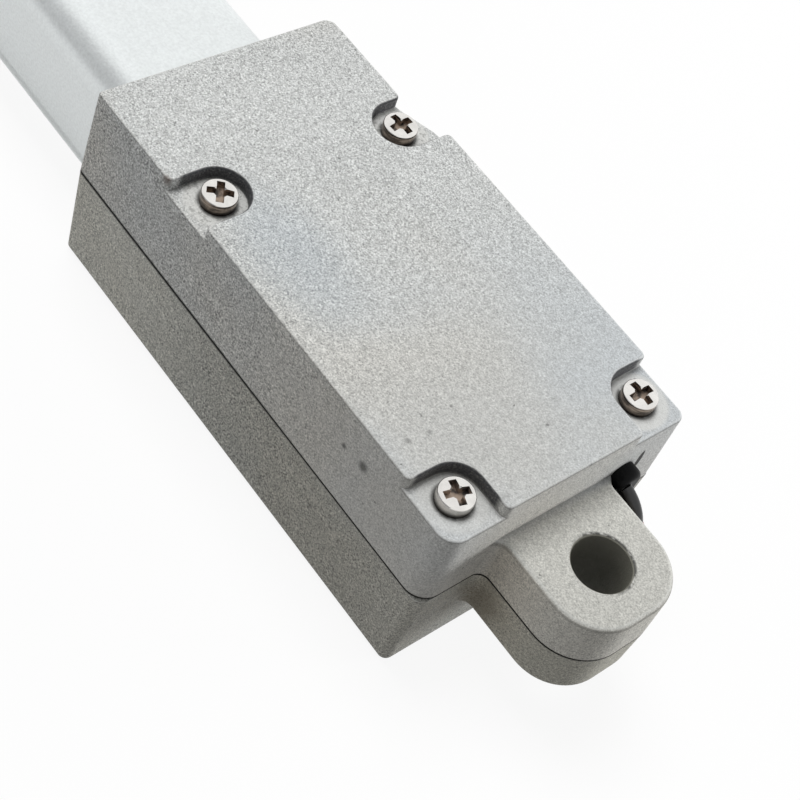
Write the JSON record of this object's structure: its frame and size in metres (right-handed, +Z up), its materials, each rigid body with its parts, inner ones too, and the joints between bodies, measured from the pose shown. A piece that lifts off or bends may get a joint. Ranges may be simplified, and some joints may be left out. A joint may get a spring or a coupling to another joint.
{
  "type": "micro linear actuator",
  "caption": "Small straight-line actuator: a die-cast housing with an eye lug, motor and spur gearhead drives a lead screw that pushes a rod out of a square tube.",
  "frame": {"origin": "centre of the rear eye's bore, on the plane where the two housing halves meet", "axes": "+X along the lead screw from the rear eye to the rod's eye, +Z up out of the screwed cover, along both eye bores"},
  "size_m": [0.1434, 0.0358, 0.0152],
  "materials": {
    "cast_zinc": "matt shot-blasted zinc die casting",
    "nickel_screws": "bright nickel plate",
    "black_rubber": "moulded rubber",
    "black_lead": "smooth cable insulation",
    "red_lead": "smooth cable insulation",
    "steel_can": "zinc-plated drawn steel",
    "dark_moulding": "moulded plastic",
    "brass_parts": "machined brass",
    "ferrite": "sintered ferrite",
    "machined_steel": "ground steel",
    "copper": "enamelled copper wire",
    "nut_plastic": "natural acetal",
    "silver_tube": "bead-blasted, clear anodised",
    "rod_end_alloy": "matt aluminium casting",
    "bush_plastic": "moulded acetal",
    "board_green": "solder resist",
    "button_plastic": "moulded plastic"
  },
  "bodies": {
    "housing": {"base_shell": "cast_zinc", "bearing_outer_ring": "machined_steel", "board_diodes": "dark_moulding", "board_wires": "red_lead", "bush_screws": "nickel_screws", "cover_screws": "nickel_screws", "cover_shell": "cast_zinc", "front_bush": "bush_plastic", "front_gear_plate": "brass_parts", "gear_pin": "machined_steel", "gear_posts": "machined_steel", "lead_black": "black_lead", "lead_coil_black": "black_lead", "lead_coil_red": "red_lead", "lead_grommet": "black_rubber", "lead_red": "red_lead", "limit_board": "board_green", "limit_switches": "dark_moulding", "motor_brushes": "brass_parts", "motor_bushes": "brass_parts", "motor_can": "steel_can", "motor_end_cap": "dark_moulding", "motor_lead_black": "black_lead", "motor_lead_red": "red_lead", "motor_magnets": "ferrite", "motor_terminals": "brass_parts", "outer_tube": "silver_tube", "output_bush": "brass_parts", "rear_gear_plate": "brass_parts", "rod_seal": "black_rubber"},
    "rotor": {"rotor_shaft": "machined_steel", "rotor_core": "machined_steel", "rotor_windings": "copper", "commutator": "brass_parts", "motor_pinion": "brass_parts"},
    "first_gear": {"first_gear": "brass_parts"},
    "second_gear": {"second_gear": "brass_parts"},
    "third_gear": {"third_gear": "brass_parts"},
    "screw": {"output_gear": "brass_parts", "output_shaft": "machined_steel", "lead_screw": "machined_steel", "coupling_pin": "machined_steel", "bearing_inner_ring": "machined_steel", "screw_clip": "machined_steel"},
    "balls": {"bearing_balls": "machined_steel"},
    "rod": {"drive_nut": "nut_plastic", "push_rod": "machined_steel", "rod_end": "rod_end_alloy", "rod_end_pin": "machined_steel"},
    "rear_button": {"rear_switch_button": "button_plastic"},
    "front_button": {"front_switch_button": "button_plastic"}
  },
  "joints": [
    {"name": "rod_slide", "type": "slide", "parent": "housing", "child": "rod", "axis": [1, 0, 0], "range_m": [0, 0.03]},
    {"name": "rotor_spin", "type": "hinge", "parent": "housing", "child": "rotor", "pos_m": [0.017, 0.0003, -0.0003], "axis": [-1, 0, 0], "range_deg": [0, 179160]},
    {"name": "first_gear_spin", "type": "hinge", "parent": "housing", "child": "first_gear", "pos_m": [0.028, 0.0003, -0.0037], "axis": [-1, 0, 0], "range_deg": [-74650.6, 0]},
    {"name": "second_gear_spin", "type": "hinge", "parent": "housing", "child": "second_gear", "pos_m": [0.0275, 0.0003, -0.0003], "axis": [-1, 0, 0], "range_deg": [0, 31105]},
    {"name": "third_gear_spin", "type": "hinge", "parent": "housing", "child": "third_gear", "pos_m": [0.028, 0.0003, -0.0037], "axis": [-1, 0, 0], "range_deg": [-12961, 0]},
    {"name": "screw_spin", "type": "hinge", "parent": "housing", "child": "screw", "pos_m": [0.0367, 0.0003, -0.0003], "axis": [-1, 0, 0], "range_deg": [0, 5401]},
    {"name": "bearing_balls_spin", "type": "hinge", "parent": "housing", "child": "balls", "pos_m": [0.0367, 0.0003, -0.0003], "axis": [-1, 0, 0], "range_deg": [0, 2161]},
    {"name": "rear_button_press", "type": "slide", "parent": "housing", "child": "rear_button", "axis": [-1, 0, 0], "range_m": [0, 0.0004], "stiffness_N_per_m": 1600},
    {"name": "front_button_press", "type": "slide", "parent": "housing", "child": "front_button", "axis": [1, 0, 0], "range_m": [0, 0.0004], "stiffness_N_per_m": 1600}
  ],
  "couplings": [
    {"joint": "rotor_spin", "follows": "rod_slide", "rad_per_m": 104230},
    {"joint": "first_gear_spin", "follows": "rod_slide", "rad_per_m": -43429},
    {"joint": "second_gear_spin", "follows": "rod_slide", "rad_per_m": 18096},
    {"joint": "third_gear_spin", "follows": "rod_slide", "rad_per_m": -7539.8},
    {"joint": "screw_spin", "follows": "rod_slide", "rad_per_m": 3141.6},
    {"joint": "bearing_balls_spin", "follows": "rod_slide", "rad_per_m": 1256.6}
  ]
}
